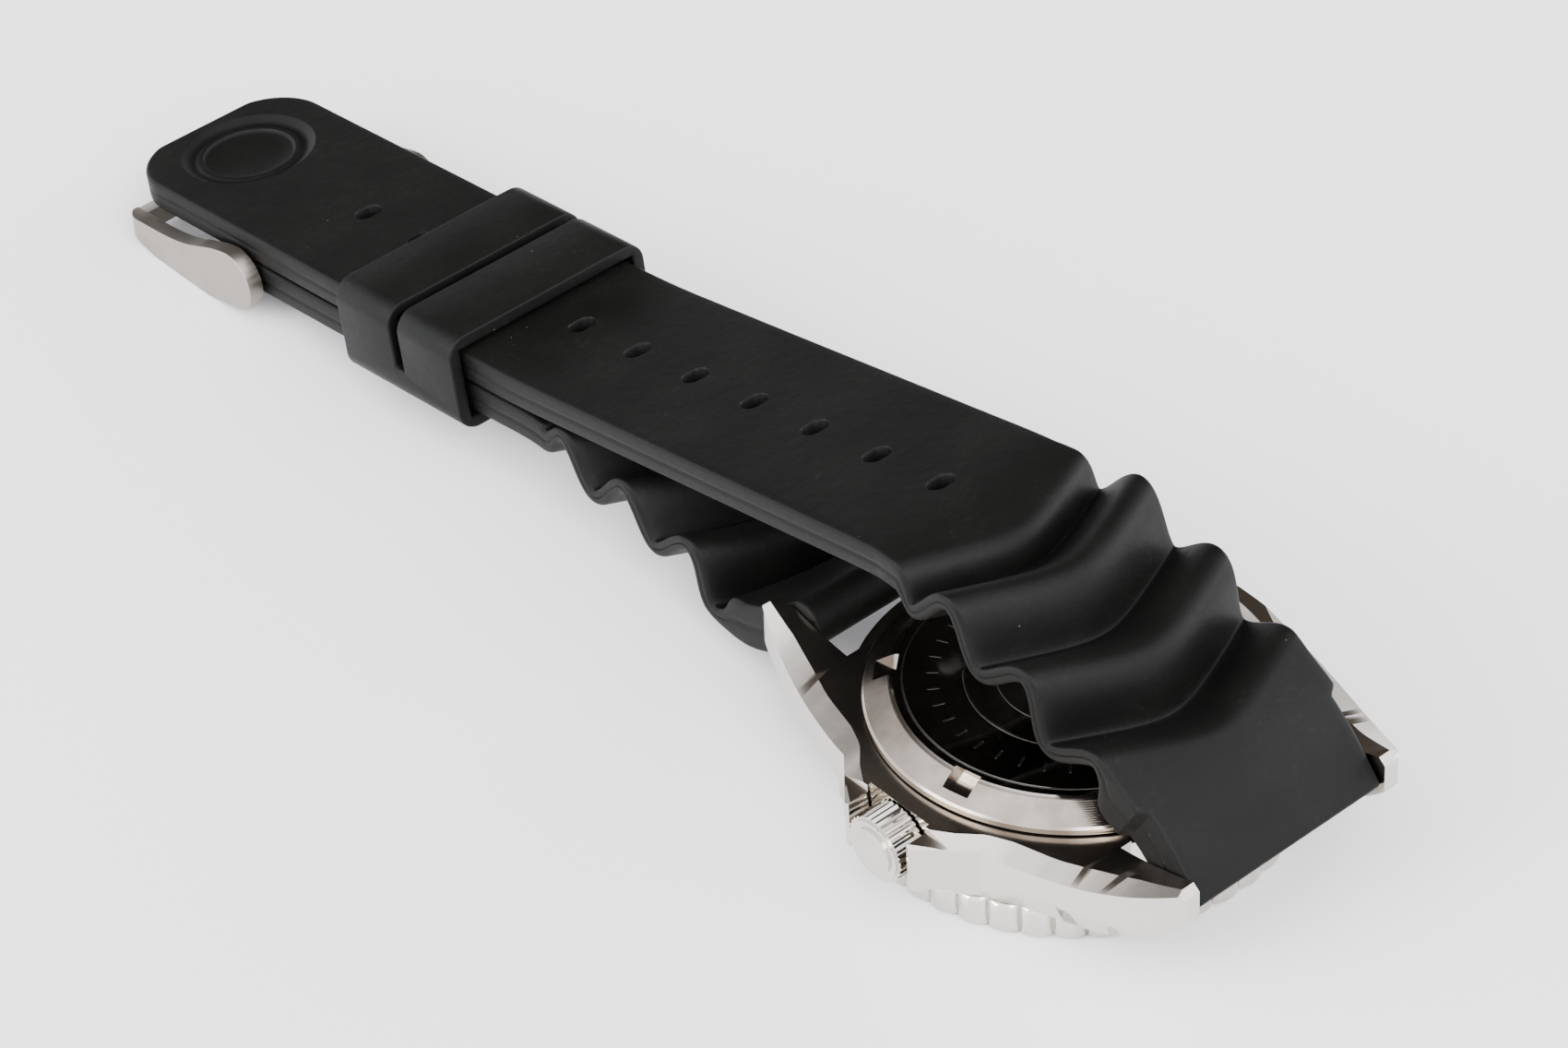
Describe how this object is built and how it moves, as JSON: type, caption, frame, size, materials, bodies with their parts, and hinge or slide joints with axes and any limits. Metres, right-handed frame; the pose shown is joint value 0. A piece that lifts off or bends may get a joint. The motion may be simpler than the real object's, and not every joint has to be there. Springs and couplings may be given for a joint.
{
  "type": "dive watch",
  "caption": "Dive watch on a wave-ribbed rubber strap, lying on its crystal with the tail folded over the case back and through the keeper.",
  "frame": {"origin": "watch axis at the plane that the bezel rests on", "axes": "+Z from the dial side to the case back, +Y to 12 o'clock and along the folded strap, -X to the crown"},
  "size_m": [0.0442, 0.1527, 0.0255],
  "materials": {
    "steel_satin": "satin brushed",
    "steel_polished": "polished",
    "bezel_steel": "polished coin edge",
    "insert_black": "anodised black",
    "strap_rubber": "matte black",
    "gasket_rubber": "matte",
    "mineral_glass": "clear",
    "dial_black": "matte black",
    "lume": "luminous paint",
    "hand_steel": "white luminous",
    "calendar_white": "white print base",
    "ring_plastic": "moulded",
    "movement_brass": "gilt",
    "movement_steel": "rhodium plated",
    "spring_steel": "tempered"
  },
  "bodies": {
    "case": {"case_body": "steel_satin", "crystal": "mineral_glass", "crystal_gasket": "ring_plastic", "crown_tube": "steel_satin", "case_back": "steel_polished", "case_back_gasket": "gasket_rubber", "lug_spring_bars": "steel_satin", "dial": "dial_black", "chapter_ring": "dial_black", "mainplate": "movement_steel", "movement_ring": "ring_plastic", "train_bridge": "movement_steel", "balance_cock": "movement_steel", "movement_screws": "spring_steel", "hairspring": "spring_steel", "barrel_arbor": "spring_steel", "rotor_bearing": "movement_steel", "bezel_click_spring": "spring_steel"},
    "bezel": {"bezel_ring": "bezel_steel", "bezel_insert": "insert_black", "bezel_pip": "lume"},
    "hours": {"hour_wheel": "movement_brass", "hour_hand": "hand_steel"},
    "minutes": {"centre_wheel": "movement_brass", "minute_hand": "hand_steel"},
    "seconds": {"fourth_wheel": "movement_brass", "seconds_hand": "hand_steel"},
    "third": {"third_wheel": "movement_brass"},
    "escape": {"escape_wheel": "spring_steel"},
    "pallets": {"pallet_fork": "spring_steel"},
    "balance": {"balance_wheel": "movement_brass"},
    "barrel": {"barrel_drum": "movement_brass", "barrel_cover": "movement_brass", "mainspring": "spring_steel"},
    "date": {"date_disc": "calendar_white"},
    "day": {"day_disc": "calendar_white"},
    "oscillating_weight": {"rotor": "movement_steel"},
    "clutch": {"clutch_pinion": "spring_steel"},
    "crown_and_stem": {"crown": "steel_polished", "crown_gasket": "gasket_rubber", "winding_stem": "spring_steel"},
    "strap_lower": {"strap_buckle_half": "strap_rubber"},
    "strap_keeper": {"keeper": "strap_rubber"},
    "buckle": {"buckle_frame": "steel_satin", "buckle_spring_bar": "steel_satin"},
    "tongue": {"buckle_tongue": "steel_satin"},
    "tail_wave": {"strap_tail_wave": "strap_rubber"},
    "tail_flat": {"strap_tail_flat": "strap_rubber"}
  },
  "joints": [
    {"name": "bezel_turn", "type": "hinge", "parent": "case", "child": "bezel", "pos_m": [0, 0, 0.002], "axis": [0, 0, 1], "continuous": true},
    {"name": "seconds_turn", "type": "hinge", "parent": "case", "child": "seconds", "pos_m": [0, 0, 0.009], "axis": [0, 0, 1], "continuous": true},
    {"name": "minutes_turn", "type": "hinge", "parent": "case", "child": "minutes", "pos_m": [0, 0, 0.0071], "axis": [0, 0, 1], "continuous": true},
    {"name": "hours_turn", "type": "hinge", "parent": "case", "child": "hours", "pos_m": [0, 0, 0.005], "axis": [0, 0, 1], "continuous": true},
    {"name": "third_turn", "type": "hinge", "parent": "case", "child": "third", "pos_m": [0, -0.00424, 0.0086], "axis": [0, 0, 1], "continuous": true},
    {"name": "escape_turn", "type": "hinge", "parent": "case", "child": "escape", "pos_m": [-0.00333, 0.00192, 0.009], "axis": [0, 0, 1], "continuous": true},
    {"name": "barrel_turn", "type": "hinge", "parent": "case", "child": "barrel", "pos_m": [0.00478, 0.00401, 0.008], "axis": [0, 0, 1], "continuous": true},
    {"name": "pallet_swing", "type": "hinge", "parent": "case", "child": "pallets", "pos_m": [-0.00584, 0.00337, 0.0074], "axis": [0, 0, 1], "range_deg": [-4, 4]},
    {"name": "balance_swing", "type": "hinge", "parent": "case", "child": "balance", "pos_m": [-0.00814, 0.0047, 0.0081], "axis": [0, 0, 1], "range_deg": [-270, 270]},
    {"name": "date_index", "type": "hinge", "parent": "case", "child": "date", "pos_m": [0, 0, 0.0047], "axis": [0, 0, 1], "continuous": true},
    {"name": "day_index", "type": "hinge", "parent": "case", "child": "day", "pos_m": [0, 0, 0.0047], "axis": [0, 0, 1], "continuous": true},
    {"name": "rotor_turn", "type": "hinge", "parent": "case", "child": "oscillating_weight", "pos_m": [0, 0, 0.0104], "axis": [0, 0, 1], "continuous": true},
    {"name": "crown_turn", "type": "hinge", "parent": "case", "child": "clutch", "pos_m": [-0.012, 0, 0.0066], "axis": [1, 0, 0], "continuous": true},
    {"name": "crown_pull", "type": "slide", "parent": "clutch", "child": "crown_and_stem", "axis": [-1, 0, 0], "range_m": [0, 0.002]},
    {"name": "strap_lift", "type": "hinge", "parent": "case", "child": "strap_lower", "pos_m": [0, 0.0228, 0.01], "axis": [1, 0, 0], "range_deg": [0, 6]},
    {"name": "tail_lift", "type": "hinge", "parent": "case", "child": "tail_wave", "pos_m": [0, -0.0228, 0.01], "axis": [1, 0, 0], "range_deg": [-2.1, 0]},
    {"name": "tail_fold", "type": "hinge", "parent": "tail_wave", "child": "tail_flat", "pos_m": [0, 0.013, 0.0244], "axis": [1, 0, 0], "range_deg": [0, 8.1]},
    {"name": "keeper_slide", "type": "slide", "parent": "strap_lower", "child": "strap_keeper", "axis": [0, 0.9928, -0.1201], "range_m": [-0.005, 0.013]},
    {"name": "buckle_swing", "type": "hinge", "parent": "strap_lower", "child": "buckle", "pos_m": [0, 0.1063, 0.0041], "axis": [1, 0, 0], "range_deg": [-60, 0]},
    {"name": "tongue_swing", "type": "hinge", "parent": "buckle", "child": "tongue", "pos_m": [0, 0.1063, 0.0041], "axis": [1, 0, 0], "range_deg": [-60, 0]}
  ],
  "couplings": [
    {"joint": "seconds_turn", "follows": "escape_turn", "ratio": -0.1},
    {"joint": "third_turn", "follows": "escape_turn", "ratio": 0.013333},
    {"joint": "minutes_turn", "follows": "escape_turn", "ratio": -0.0016667},
    {"joint": "hours_turn", "follows": "escape_turn", "ratio": -0.00013889},
    {"joint": "barrel_turn", "follows": "escape_turn", "ratio": 0.00027778},
    {"joint": "tail_lift", "follows": "strap_lift", "ratio": -0.33891},
    {"joint": "tail_fold", "follows": "strap_lift", "ratio": 1.3389}
  ]
}
